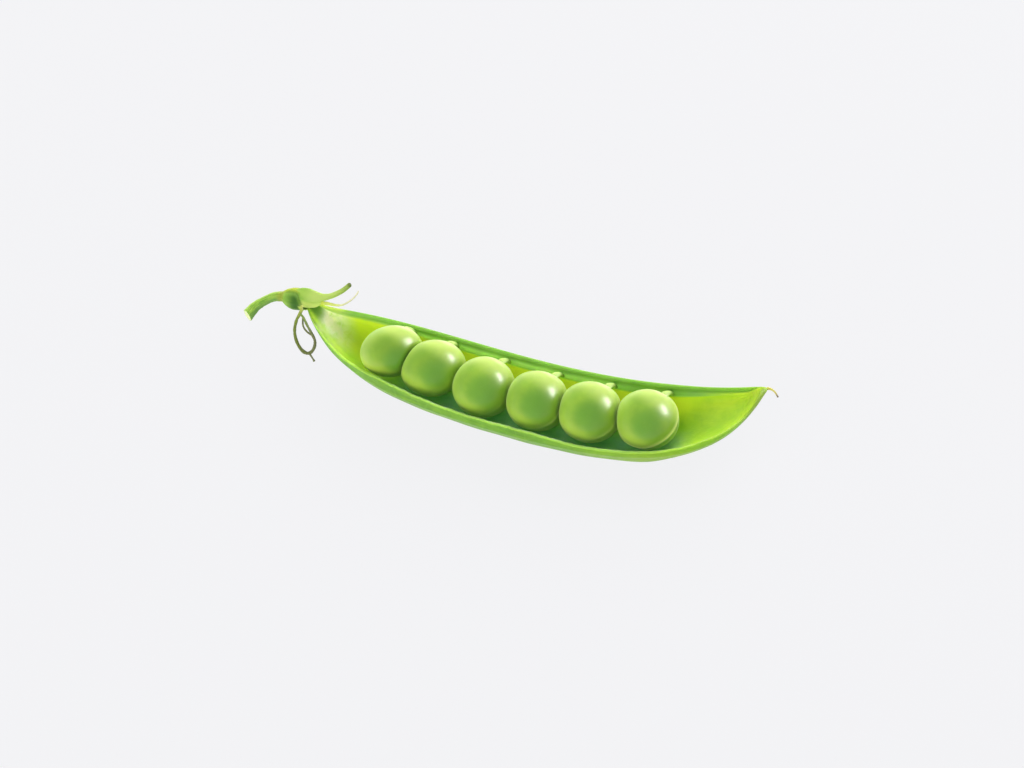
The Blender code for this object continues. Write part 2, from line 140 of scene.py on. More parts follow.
def makePiece(name, parts, finish, nodes):
    # a smooth closed mesh riding on the root body, its faces outwards, from parts of rings with
    # values for them or for their points
    allPoints, faceSets, attributes = [], [], {}
    first = 0
    for rings, values in parts:
        points, faces = closedSkin(rings, first)
        first += len(points)
        allPoints.append(points)
        faceSets += faces
        for label, given in values.items():
            given = ringValues(np.broadcast_to(given, rings.shape[:2]))
            attributes.setdefault(label, []).append(given)
    points = np.concatenate(allPoints)
    if volumeOf(points, faceSets) < 0:
        faceSets = [faces[:, ::-1] for faces in faceSets]
    mesh = bpy.data.meshes.new(name)
    loops = np.concatenate([faces.ravel() for faces in faceSets])
    sizes = np.concatenate([np.full(len(faces), faces.shape[1]) for faces in faceSets])
    mesh.vertices.add(len(points))
    mesh.vertices.foreach_set("co", (points * mm).astype(np.float32).ravel())
    mesh.loops.add(len(loops))
    mesh.loops.foreach_set("vertex_index", loops.astype(np.int32))
    mesh.polygons.add(len(sizes))
    mesh.polygons.foreach_set("loop_start", np.r_[0, np.cumsum(sizes)[:-1]].astype(np.int32))
    mesh.update(calc_edges=True)
    mesh.validate()
    for label, values in attributes.items():
        layer = mesh.attributes.new(label, "FLOAT", "POINT")
        layer.data.foreach_set("value", np.concatenate(values).astype(np.float32))
    mesh.shade_smooth()
    mesh.materials.append(finish)
    piece = bpy.data.objects.new(name, mesh)
    bpy.context.scene.collection.objects.link(piece)
    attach(piece, "root")
    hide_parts(*nodes)
    print(name, len(points), "points")


def carried(path, widths, heights, sides, flat, swirl=None):
    # rings = path + across * width * cos a + upward * height * sin a, where across is square
    # to the path and to the direction flat
    along = unit(np.gradient(path, axis=0))
    across = unit(np.cross(along, flat))
    upward = np.cross(across, along)
    angle = np.linspace(0.0, 2 * pi, sides, endpoint=False)[None, :]
    if swirl is not None:
        angle = angle + swirl[:, None]
    widths = np.asarray(widths).reshape(len(path), -1)
    heights = np.asarray(heights).reshape(len(path), -1)
    return (path[:, None] + across[:, None] * (widths * np.cos(angle))[..., None]
            + upward[:, None] * (heights * np.sin(angle))[..., None])


def domed(count, share):
    # 1 along the middle, falling to nearly 0 at both ends as a half circle does
    s = np.linspace(0.0, 1.0, count)
    fromEnd = np.clip(np.minimum(s, 1 - s) / share, 0.0, 1.0)
    return np.maximum(np.sqrt(1 - (1 - fromEnd)**2), 0.02)


# Shader maths: one socket, with the operators adding Math nodes

class Wire:
    def __init__(self, surface, socket):
        self.surface = surface
        self.socket = socket

    def math(self, operation, *others):
        sockets = {i: one for i, one in enumerate((self, *others))}
        return self.surface.node("ShaderNodeMath", {"operation": operation}, sockets)

    def __add__(self, other):
        return self.math("ADD", other)

    def __radd__(self, other):
        return self.math("ADD", other)

    def __sub__(self, other):
        return self.math("SUBTRACT", other)

    def __rsub__(self, other):
        return self.surface.node("ShaderNodeMath", {"operation": "SUBTRACT"}, {0: other, 1: self})

    def __mul__(self, other):
        return self.math("MULTIPLY", other)

    def __rmul__(self, other):
        return self.math("MULTIPLY", other)


# A material with a Principled shader; node() adds any node. Its paint holds colours from 0 to 255
# by name: two for a ground, or one and how strongly it covers
class Surface:
    def __init__(self, name, constants, paint=None):
        self.paint = paint
        self.material = bpy.data.materials.new(name)
        self.material.use_nodes = True
        self.tree = self.material.node_tree
        self.shader = self.tree.nodes["Principled BSDF"]
        for socket, value in constants.items():
            self.shader.inputs[socket].default_value = value

    def node(self, kind, settings=None, sockets=None, out=0):
        made = self.tree.nodes.new(kind)
        for label, value in (settings or {}).items():
            if label == "stops":
                ramp = made.color_ramp.elements
                while len(ramp) < len(value):
                    ramp.new(1.0)
                for stop, (place, tone) in zip(ramp, value):
                    stop.position = place
                    stop.color = shade(*tone)
            else:
                setattr(made, label, value)
        for label, value in (sockets or {}).items():
            if isinstance(value, Wire):
                self.tree.links.new(value.socket, made.inputs[label])
            else:
                made.inputs[label].default_value = value
        return Wire(self, made.outputs[out])

    def place(self):
        # Object coordinates in millimetres
        here = self.node("ShaderNodeTexCoord", out=3)
        return self.node("ShaderNodeMapping", {}, {"Vector": here, "Scale": (1 / mm, 1 / mm, 1 / mm)})

    def attribute(self, name):
        return self.node("ShaderNodeAttribute", {"attribute_name": name}, out=2)

    def noise(self, where, scale, detail, roughness, distortion=0.0):
        return self.node("ShaderNodeTexNoise", {}, {"Vector": where, "Scale": scale, "Detail": detail,
                                                    "Roughness": roughness, "Distortion": distortion})

    def between(self, value, low, high, start=0.0, end=1.0):
        # smooth step from start to end as value goes from low to high
        return self.node("ShaderNodeMapRange", {"interpolation_type": "SMOOTHSTEP"},
                         {"Value": value, "From Min": low, "From Max": high, "To Min": start,
                          "To Max": end})

    def falling(self, value, low, high, least=0.0):
        # smooth step down from 1 to least
        return self.between(value, low, high, 1.0, least)

    def mix(self, share, one, other, kind="MIX"):
        # two colours by share
        return self.node("ShaderNodeMix", {"data_type": "RGBA", "blend_type": kind},
                         {0: share, 6: one, 7: other}, out=2)

    def ground(self, label, share):
        # from the first to the second colour of that name
        one, other = self.paint[label]
        return self.mix(share, shade(*one), shade(*other))

    def cover(self, body, **masks):
        # body under the colours of those names in turn, each by its strength times its mask
        for label, mask in masks.items():
            tone, strength = self.paint[label]
            body = self.mix(mask * strength, body, shade(*tone))
        return body

    def bump(self, height, distance, strength):
        return self.node("ShaderNodeBump", {}, {"Height": height, "Distance": distance * mm,
                                                "Strength": strength})

    def feed(self, **wires):
        for label, wire in wires.items():
            name = {"baseColour": "Base Color", "roughness": "Roughness", "normal": "Normal",
                    "glow": "Emission Color"}[label]
            self.tree.links.new(wire.socket, self.shader.inputs[name])


def shade(red, green, blue):
    # a colour as seen on screen, 0 to 255, made linear, with full alpha
    parts = np.array([red, green, blue]) / 255
    linear = np.where(parts <= 0.04045, parts / 12.92, ((parts + 0.055) / 1.055)**2.4)
    return (*linear.tolist(), 1.0)


def soft(weight, radius, scale):
    # the sockets for light that passes through the skin, its scale in millimetres
    return {"Subsurface Weight": weight, "Subsurface Radius": radius, "Subsurface Scale": scale * mm}


# Pod shell: the main shape values are those of the solid model

pod = {
    "start": -43.4, "end": 42.3, "rim": 6.6,
    "seamFar": [(-43.4, 11.6), (-36.0, 7.0), (-24.0, 13.7), (-10.0, 6.0), (6.0, 6.2), (24.0, 4.1),
                (42.3, 10.0)],
    "seamNear": [(-41.2, 9.8), (-40.6, 6.4), (-15.5, -22.7), (-11.6, 14.0), (39.8, -33.9),
                 (39.5, 6.6), (42.3, 8.2)],
    "neckNear": 9.5, "neckBend": 4.0,
    "depth": 6.7, "plump": (0.6, 1.2, 0.6), "plumpRise": (-41.0, -27.0), "plumpFall": (20.0, 35.0),
    "depthSoftness": 16.0,
    "wall": 0.95, "lipWall": 0.45, "farLipWall": 0.5, "farMargin": 0.5,
    "lipZone": (-0.9, 0.2), "farLipZone": (0.1, -0.1),   # angles over which the wall thins to a lip
    "mostMargin": 0.4, "mostWall": 0.45,   # shares of a small section that they stop at
    "smallSection": (1.5, 4.0),            # sizes between which ribs and fibres come in
    "strip": [(-43.4, 0.3), (-34.0, 1.0), (-22.0, 2.1), (-8.0, 1.55), (5.0, 1.7), (16.0, 0.9),
              (26.0, 0.95), (34.0, 0.95), (42.3, 0.1)],
    "hollowStart": (-43.0, -34.0), "hollowEnd": (38.8, 42.0), "crown": (0.1, 0.35), "mostCrown": 0.8,
    "rib": 0.2, "ribSpread": 0.1,
    "placenta": 0.12, "placentaAngle": 0.2, "placentaSpread": 0.05,
    "bulge": 0.2, "bulgeLength": 3.4,
    "slowWave": 0.05,                      # slow waves of the torn edge
    "ragged": 0.035,                       # its fine raggedness
    # the few torn teeth: place along the pod, height, half width
    "teeth": [(-19.6, 0.16, 0.22), (-17.4, 0.1, 0.3), (-9.2, 0.14, 0.2), (-6.9, 0.1, 0.3),
              (2.3, 0.2, 0.22), (3.4, 0.12, 0.18), (8.8, 0.08, 0.3), (13.6, 0.1, 0.25)],
    "fibre": 0.007,                        # lengthwise relief of the outer skin
    "innerWave": 0.03,                     # low waves of the inner wall
    "tipRound": 1.1,                       # the last bit, where the section closes to a blunt point
    "stations": 560, "crowding": 0.1,      # rings, and how much they crowd towards both ends
    "outer": 98, "inner": 78,              # points round the outside and the inside
    # painted shade: the underside, the keel tint, the band under the far seam, the near wall, the neck
    # and the base; painted light: the thin far wall and beside the first pea
    "paint": {
        "outer": ((94, 140, 36), (116, 158, 42)), "fibre": ((156, 198, 74), 0.25),
        "vein": ((150, 200, 80), 0.12), "patch": ((96, 156, 46), 0.25),
        "towardsTip": ((142, 176, 36), 0.65), "nearTip": ((120, 158, 44), 0.7),
        "underside": ((84, 142, 44), 0.55),
        "inner": ((170, 208, 60), (192, 220, 66)), "mottle": ((148, 196, 66), 0.35),
        "speck": ((210, 228, 120), 0.15), "thinWall": ((218, 222, 36), 0.8),
        "keel": ((158, 202, 178), 0.9), "firstPea": ((210, 222, 48), 0.7),
        "band": ((208, 246, 172), (138, 190, 106)), "nearLip": ((126, 160, 56), 0.85),
        "line": ((170, 218, 120), 0.5), "lining": ((248, 246, 216), 0.85),
        "neck": ((84, 140, 50), 0.85), "rim": ((118, 166, 60), 0.9),
        "paleSeam": ((190, 206, 100), 0.75), "torn": ((164, 206, 84), 0.7),
        "tip": ((142, 168, 38), 0.7), "base": ((92, 144, 50), 0.8),
    },
    # painted glow: an emission colour that stands in for light through the far wall
    "glow": (0.62, 0.8, 0.05, 1.0),        # light through the thin far wall
}

peas = {
    "centres": [(-22.7, 3.25, 7.7), (-14.75, 2.0, 6.85), (-5.0, 0.35, 6.6), (4.85, -0.4, 6.6),
                (14.4, -0.6, 6.6), (24.3, -0.05, 6.6)],
    "sizes": [(5.4, 4.25, 4.6), (5.6, 4.75, 4.95), (5.35, 5.15, 5.2), (5.35, 5.1, 5.2),
              (5.5, 5.15, 5.2), (5.4, 5.05, 5.15)],
    "turns": [27.0, 25.0, 15.0, 5.0, 0.0, 0.0],
    "gap": 0.3, "softness": 24.0,
    "wavy": 0.02, "inset": 0.03,                   # soft waviness, and how far the skin lies in
    "ridge": [0.0, 0.0, 0.02, 0.05, 0.04, 0.14],   # height of the soft fold on each pea's far flank
    "foldWay": (0.417, -0.454, -0.788),            # square to the fold's plane, in the camera's axes
    "foldAt": 0.03, "foldWidth": 0.07, "foldStep": (0.6, 0.2),
    # the way each pea's painted shade side faces
    "cheeks": [(0.6, -0.64, 0.48), (0.42, -0.6, 0.68)] + [(0.3, -0.56, 0.77)] * 4,
    "sides": 150, "rings": 100,
    # painted rim light on the flank, painted light on the cord side, painted bounce light on the low
    # side, painted shade on the cheek, painted highlight on the fold
    "paint": {
        "body": ((124, 164, 44), (142, 180, 50)), "flank": ((180, 206, 92), 0.4),
        "cordSide": ((202, 222, 108), 0.58), "lowSide": ((196, 212, 84), 0.4),
        "cheek": ((94, 152, 46), 0.66), "mottle": ((110, 168, 60), 0.15),
        "speck": ((196, 220, 130), 0.1), "grip": ((214, 230, 150), 0.7), "fold": ((232, 240, 150), 0.9),
    },
}


def seamAt(points, x):
    return readOff(bezier(points, 800), x)


def nearSeam(x):
    # smooth minimum of the pod's curve and the neck's straight side
    y = seamAt(pod["seamNear"], x)
    inward = np.log1p(np.exp(pod["neckBend"] * (pod["neckNear"] - y))) / pod["neckBend"]
    return pod["neckNear"] - inward


def podDepth(half, x):
    neck, middle, tip = pod["plump"]
    plump = blend(neck, middle, smoothstep(*pod["plumpRise"], x))
    plump = plump + (tip - middle) * smoothstep(*pod["plumpFall"], x)
    power = pod["depthSoftness"]
    return (pod["depth"]**-power + (half * plump)**-power)**(-1 / power)


def stripHeight(x):
    # smooth steps from one known height to the next, with waves, raggedness and teeth
    known = np.array(pod["strip"])
    index = np.clip(np.searchsorted(known[:, 0], x, side="right") - 1, 0, len(known) - 2)
    low, high = known[index], known[index + 1]
    share = (x - low[:, 0]) / (high[:, 0] - low[:, 0])
    height = blend(low[:, 1], high[:, 1], share * share * (3 - 2 * share))
    slow = pod["slowWave"] * (np.sin(1.3 * x) + 0.6 * np.sin(2.9 * x + 1.0))
    fine = pod["ragged"] * (0.6 * waves(x, 1.1, 3) + np.abs(waves(x, 0.5, 4)) - 0.3)
    teeth = sum(tall * np.clip(1 - np.abs(x - at) / half, 0.0, 1.0) for at, tall, half in pod["teeth"])
    return height + (slow + fine) * smoothstep(0.5, 1.2, height) + teeth


def podSection():
    # section across X by angle t: y = middle + half * cos t, z = rim - depth * sin t, raised by
    # ribs, swellings and fibres; the inner wall is the outer one moved in by the wall, and the last
    # bit of the tip closes as sqrt(1 - share^2)
    share = np.linspace(0.0, 1.0, pod["stations"])
    x = blend(pod["start"], pod["end"], share - pod["crowding"] * np.sin(2 * pi * share))
    far, near = seamAt(pod["seamFar"], x), nearSeam(x)
    half, middle = ((far - near) / 2)[:, None], ((far + near) / 2)[:, None]
    x = x[:, None]
    intoTip = np.clip(x - pod["end"] + pod["tipRound"], 0.0, None) / pod["tipRound"]
    closing = np.sqrt(np.clip(1 - intoTip**2, 0.02, 1.0))
    middle = middle + 0.5 * half * (1 - closing)
    half = half * closing
    depth = podDepth(half, x)
    size = np.minimum(half, depth)
    grown = smoothstep(*pod["smallSection"], size)
    margin = np.minimum(pod["farMargin"], pod["mostMargin"] * size)
    torn = np.minimum(stripHeight(x[:, 0])[:, None], pod["mostWall"] * size)
    start, end = -np.arcsin(margin / depth), pi + np.arcsin(torn / depth)
    hollow = smoothstep(*pod["hollowStart"], x) * (1 - smoothstep(*pod["hollowEnd"], x))
    swell = sum(hump(x - centre[0], pod["bulgeLength"]) for centre in peas["centres"]) * pod["bulge"]

    def section(t, raised):
        normalY, normalZ = np.cos(t) * depth, -np.sin(t) * half
        length = np.hypot(normalY, normalZ)
        normalY, normalZ = normalY / length, normalZ / length
        raised = raised + swell * np.clip(np.sin(t), 0.0, 1.0)
        return (middle + half * np.cos(t) + normalY * raised,
                np.maximum(pod["rim"] - depth * np.sin(t) + normalZ * raised, 0.0), normalY, normalZ)

    u = np.linspace(0.0, 1.0, pod["outer"])
    tOut = blend(start, end, u)
    ribs = pod["rib"] * (hump(tOut, pod["ribSpread"]) + hump(tOut - pi, pod["ribSpread"]))
    fibres = waves(tOut * pod["depth"] + 0.15 * np.sin(x / 9), 0.55, 11) * smoothstep(0.0, 0.6, tOut)
    outerY, outerZ = section(tOut, (ribs + pod["fibre"] * fibres) * grown)[:2]

    v = np.linspace(0.0, 1.0, pod["inner"])
    tIn = blend(end, start, v)
    y, z, normalY, normalZ = section(tIn, 0.0)
    wall = blend(pod["wall"], pod["lipWall"], smoothstep(*pod["lipZone"], tIn - pi))
    wall = wall - (pod["wall"] - pod["farLipWall"]) * smoothstep(*pod["farLipZone"], tIn)
    wall = wall + pod["placenta"] * hump(tIn - pod["placentaAngle"], pod["placentaSpread"])
    low = waves(x + 2 * np.sin(tIn * 3), 3.1, 21) * waves(tIn * 6 + x * 0.2, 2.3, 22)
    wall = np.minimum(wall + pod["innerWave"] * low, pod["mostWall"] * size)
    phase = pi * (0.06 + 0.88 * v)
    crown = np.minimum(np.where(x < 0.0, *pod["crown"]) * half, pod["mostCrown"])
    endY = blend(outerY[:, -1:], outerY[:, :1], 0.5 - 0.5 * np.cos(phase))
    endZ = blend(outerZ[:, -1:], outerZ[:, :1], v) + crown * np.sin(phase)
    innerY = blend(endY, y - normalY * wall, hollow)
    innerZ = blend(endZ, z - normalZ * wall, hollow)

    sectionY = np.concatenate([outerY, innerY], axis=1)
    sectionZ = np.concatenate([outerZ, innerZ], axis=1)
    rings = np.stack([np.broadcast_to(x, sectionY.shape), sectionY, sectionZ], -1)
    around = np.concatenate([tOut, tIn], axis=1) / pi
    inside = np.r_[np.zeros(pod["outer"]), np.ones(pod["inner"])]
    toEdge = np.concatenate([(tOut - end) * -1, (tIn - end) * -1], axis=1) * size
    return rings, {"around": around, "inside": inside, "toEdge": toEdge}


def podSkin():
    # outside: mid green with lengthwise streaks and pale oblique veins, with painted shade making it
    # darker towards the keel; inside: yellow green, with painted light where the far wall is thin and
    # beside the first pea, a painted bluish shade tint along the keel, painted shade inside the near
    # wall, a painted shadow of the calyx lobe in the neck, a painted shade band with a pale line under
    # the far seam, whitish streaks near the base; lime torn edge; a painted shadow of the calyx at the
    # pod's base; the far wall has a painted glow, an emission that stands in for light through it.
    # around runs from 0 at the far seam over 0.5 at the keel to 1 at the near seam
    skin = Surface("podSkin", {"Roughness": 0.42, "IOR": 1.4, "Specular IOR Level": 0.35,
                               "Coat Weight": 0.06, "Coat Roughness": 0.25,
                               "Emission Strength": 0.2, **soft(0.7, (1.0, 1.2, 0.45), 1.6)},
                   pod["paint"])
    around = skin.attribute("around")
    inside = skin.attribute("inside")
    toEdge = skin.attribute("toEdge")
    x = skin.node("ShaderNodeSeparateXYZ", {}, {0: skin.place()})
    flow = skin.node("ShaderNodeCombineXYZ", {}, {0: x * 0.12, 1: around * 16.0, 2: inside * 5.0})
    streaks = skin.noise(flow, 1.6, 4.0, 0.6)
    fine = skin.noise(flow, 5.0, 2.0, 0.5)
    patches = skin.noise(skin.place(), 0.22, 3.0, 0.55)
    mottle = skin.noise(skin.place(), 0.75, 4.0, 0.6, 0.4)
    specks = skin.noise(skin.place(), 3.2, 3.0, 0.6)
    slant = skin.node("ShaderNodeCombineXYZ", {}, {0: x * 0.35, 1: around * 9.0, 2: 0.0})
    cells = skin.node("ShaderNodeTexVoronoi", {"feature": "DISTANCE_TO_EDGE"},
                      {"Vector": slant, "Scale": 1.4})
    veins = skin.falling(cells, 0.0, 0.09)

    def rises(low, high):
        return skin.between(x, low, high)

    def ends(low, high, least=0.0):
        return skin.falling(x, low, high, least)

    outer = skin.cover(
        skin.ground("outer", skin.between(streaks, 0.35, 0.68)),
        fibre=skin.between(fine, 0.55, 0.8), vein=veins, patch=skin.between(patches, 0.4, 0.75),
        towardsTip=rises(8.0, 30.0), nearTip=rises(31.0, 37.0),
        # painted shade: darker green on the lower outer side towards the keel
        underside=skin.falling(around, 0.74, 0.95) * skin.between(around, 0.3, 0.6))

    # painted light: brighter yellow on the far wall, standing in for light shining through it
    thinWall = skin.falling(around, 0.22, 0.42) * rises(-36.0, -20.0) * ends(24.0, 34.0, 0.35)
    # painted light: a brighter patch on the inner wall beside the first pea
    besidePea = rises(-36.0, -31.0) * ends(-25.0, -20.0)
    inner = skin.cover(
        skin.ground("inner", skin.between(patches, 0.35, 0.68)),
        mottle=skin.between(mottle, 0.45, 0.75), speck=skin.between(specks, 0.6, 0.8),
        thinWall=thinWall,
        # painted shade: a bluish shade tint along the keel between the peas
        keel=skin.between(around, 0.42, 0.6) * rises(-29.0, -20.0) * ends(24.0, 33.0),
        firstPea=besidePea * skin.falling(around, 0.45, 0.75))
    left, right = rises(-31.0, -10.0), ends(30.0, 37.5)
    # painted shade: a bluish green shade band under the far seam, paler towards the base
    margin = skin.falling(around - left * 0.09, -0.032, 0.022) * right
    inner = skin.mix(margin * 0.85, inner, skin.ground("band", rises(8.0, 28.0)))
    fromLine = (around - 0.07) * (around - 0.07) * 6400.0
    # whitish streaks inside, near the base
    lining = rises(-38.8, -37.2) * ends(-36.5, -31.0) * skin.between(mottle, 0.15, 0.65)
    inner = skin.cover(
        inner,
        # painted shade: darker green inside the near wall towards both ends
        nearLip=skin.between(around, 0.72, 1.0) * (rises(20.0, 32.0) + ends(-34.0, -20.0)),
        line=skin.falling(fromLine, 0.0, 1.0) * left * right,
        lining=lining * skin.falling(around, 0.45, 0.7, 0.3),
        # painted shadow of the calyx lobe: deep green inside the neck
        neck=ends(-39.0, -36.6) * skin.falling(around, 0.45, 0.75))

    rim = skin.falling(around, -0.012, 0.03)
    body = skin.cover(
        skin.mix(inside, outer, inner),
        rim=rim, paleSeam=rim * rises(-40.5, -38.5) * ends(-35.5, -32.0),
        torn=skin.falling(toEdge, 0.0, 0.24) * ends(26.0, 36.0, 0.3),
        # painted shadow of the calyx lobes: darker green at the pod's base
        tip=rises(38.5, 42.0), base=ends(-41.4, -39.4))
    # painted glow: an emission that stands in for light through the far wall
    glow = skin.mix(thinWall * inside * (1 - margin) * right, (0.0, 0.0, 0.0, 1.0), pod["glow"])
    height = streaks * 0.6 + fine * 0.25 + veins * 0.2 + mottle * 0.5 * inside
    roughness = skin.between(mottle, 0.3, 0.7, 0.38, 0.52)
    skin.feed(baseColour=body, roughness=roughness, glow=glow, normal=skin.bump(height, 0.04, 0.5))
    return skin.material


# Peas

def peaAxes(index):
    a = radians(peas["turns"][index])
    return np.array([[cos(a), sin(a), 0.0], [-sin(a), cos(a), 0.0], [0.0, 0.0, 1.0]])


def peaReach(index, direction):
    # how far an unpressed pea reaches along a direction
    inOwnAxes = direction @ peaAxes(index).T
    return 1.0 / np.linalg.norm(inOwnAxes / np.array(peas["sizes"][index]), axis=-1)


def pressedPlane(index, other):
    # the flat where two peas press: its direction and its distance from the first one's centre
    apart = np.subtract(peas["centres"][other], peas["centres"][index])
    pull = np.zeros(3)
    for one in (index, other):
        axes = peaAxes(one)
        pull += axes.T @ ((axes @ apart) / np.array(peas["sizes"][one])**2)
    reach = peaReach(index, apart), peaReach(other, apart)
    direction = unit(pull)
    return direction, direction @ apart * reach[0] / sum(reach) - peas["gap"] / 2


def peaBall(index, cameraAxes):
    # reach from the centre = smooth minimum of the ellipsoid's and the pressed flats', less a soft
    # waviness and plus a low fold on the flank
    around = np.linspace(0.0, 2 * pi, peas["sides"], endpoint=False)
    up = np.linspace(-pi / 2, pi / 2, peas["rings"] + 2)[1:-1]
    gridA, gridU = np.meshgrid(around, up)
    ways = np.stack([np.sin(gridU), np.cos(gridU) * np.cos(gridA), np.cos(gridU) * np.sin(gridA)], -1)
    closeness = peaReach(index, ways)**-peas["softness"]
    for other in (index - 1, index + 1):
        if 0 <= other < len(peas["centres"]):
            direction, distance = pressedPlane(index, other)
            closeness = closeness + (np.clip(ways @ direction, 0.0, 1.0) / distance)**peas["softness"]
    reach = closeness**(-1.0 / peas["softness"])
    wavy = peas["wavy"] * (waves(ways[..., 0] + ways[..., 1], 1.3, 40 + index)
                           + waves(ways[..., 2] - ways[..., 1], 1.1, 60 + index))
    ridge = peas["ridge"][index]
    beyond = ways @ (np.array(peas["foldWay"]) @ cameraAxes)
    fromFold = beyond - peas["foldAt"]
    drop, within = peas["foldStep"]
    fold = ridge * (hump(fromFold, peas["foldWidth"]) - drop * smoothstep(0.0, within, beyond))
    reach = reach + wavy - peas["inset"] + fold
    points = np.array(peas["centres"][index]) + ways * reach[..., None]
    # the last value marks the fold, where the skin gets a painted highlight
    return points, ways, hump(fromFold, 0.06) * ridge / max(peas["ridge"])


def peaSkin():
    # yellow green in soft clouds, painted rim light on the flank, painted light on the side towards
    # the cord and painted bounce light opposite it, painted shade in darker green on one side,
    # deepest in its middle, darker mottling, fine pale specks, a pale spot at the cord and a painted
    # highlight along the fold; cord and the painted shade side are 1 where the skin faces that way, -1
    # opposite
    skin = Surface("peaSkin", {"Roughness": 0.4, "IOR": 1.42, "Coat Weight": 0.35,
                               "Coat Roughness": 0.28, "Sheen Weight": 0.3, "Sheen Roughness": 0.4,
                               "Sheen Tint": (0.85, 1.0, 0.55, 1.0),
                               **soft(0.5, (0.9, 1.2, 0.45), 1.0)}, peas["paint"])
    cord = skin.attribute("cord")
    fold = skin.attribute("fold")
    cheek = skin.attribute("cheek")
    clouds = skin.noise(skin.place(), 0.16, 3.0, 0.55)
    mottle = skin.noise(skin.place(), 0.6, 4.0, 0.6)
    specks = skin.noise(skin.place(), 4.5, 3.0, 0.65)
    body = skin.cover(
        skin.ground("body", skin.between(clouds, 0.36, 0.66)),
        # painted rim light: paler all round the flank
        flank=skin.falling(cheek, 0.15, 0.6) * skin.between(cheek, -0.6, -0.15),
        # painted light on the side towards the cord, painted bounce light on the low side opposite it
        cordSide=skin.between(cord, 0.25, 0.8), lowSide=skin.falling(cord, -0.9, -0.4),
        # painted shade: darker green where the skin faces the shade side, deepest in the middle
        cheek=skin.between(cheek, 0.77, 1.0), mottle=skin.between(mottle, 0.45, 0.75),
        # painted highlight: a light line along the fold
        speck=skin.between(specks, 0.58, 0.78), grip=skin.between(cord, 0.84, 0.96), fold=fold)
    roughness = skin.between(mottle, 0.3, 0.75, 0.36, 0.46)
    bump = skin.bump(specks * 0.5 + mottle * 0.5, 0.02, 0.3)
    skin.feed(baseColour=body, roughness=roughness, normal=bump)
    return skin.material


def makePeas(finish, axes):
    grip = unit(funicle["way"])
    for index, cheek in enumerate(peas["cheeks"]):
        rings, ways, fold = peaBall(index, axes)
        values = {"cord": ways @ grip, "fold": fold, "cheek": ways @ unit(cheek)}
        label = index + 1
        makePiece("peaBall%d" % label, [(rings, values)], finish, ["pea_%d" % label])


# Funicles: short pale cords from the rib under the far seam to each pea

funicle = {
    "way": (0.36, 0.88, 0.32),       # from the pea's centre to where the cord grips it
    "sunk": 0.3,                     # how deep it grips
    "along": 0.7, "inward": 0.75,    # to its root, along the pod and in from the far seam
    "arch": (0.1, 0.2, 0.35),        # how its middle leaves the straight line
    "upright": (0.3, 0.2, 1.0),
    "width": (0.36, 0.66), "widening": (0.35, 0.95), "height": (0.32, 0.26), "dome": 0.16,
    "count": 60, "sides": 36,
    "paint": {"body": ((108, 160, 50), (184, 210, 112)), "grain": ((188, 212, 124), 0.3)},
}


def makeFunicles(finish):
    way = unit(funicle["way"])
    s = np.linspace(0.0, 1.0, funicle["count"])
    ends = domed(funicle["count"], funicle["dome"])
    widths = blend(*funicle["width"], smoothstep(*funicle["widening"], s)) * ends
    heights = blend(*funicle["height"], s) * ends
    for index, centre in enumerate(peas["centres"]):
        grip = np.array(centre) + way * (peaReach(index, way) - funicle["sunk"])
        x = grip[0] + funicle["along"]
        y = float(seamAt(pod["seamFar"], x)) - funicle["inward"]
        root = np.array([x, y, pod["rim"] - pod["depth"] * sin(pod["placentaAngle"])])
        bend = (grip + root) / 2 + np.array(funicle["arch"])
        path = smoothPath([root, bend, grip], funicle["count"])
        rings = carried(path, widths, heights, funicle["sides"], funicle["upright"])
        part = rings, {"along": s[:, None]}
        makePiece("funicle%d" % (index + 1), [part], finish, ["pod_shell"])


def funicleSkin():
    # pale whitish green, greener at the wall
    skin = Surface("funicleSkin", {"Roughness": 0.42, **soft(0.4, (0.8, 1.0, 0.4), 0.8)},
                   funicle["paint"])
    grain = skin.noise(skin.place(), 2.2, 4.0, 0.6)
    body = skin.cover(skin.ground("body", skin.between(skin.attribute("along"), 0.0, 0.7)),
                      grain=skin.between(grain, 0.5, 0.8))
    skin.feed(baseColour=body, normal=skin.bump(grain, 0.05, 0.5))
    return skin.material


# Calyx: a cup whose rim runs out into five lobes, and the stiff spike

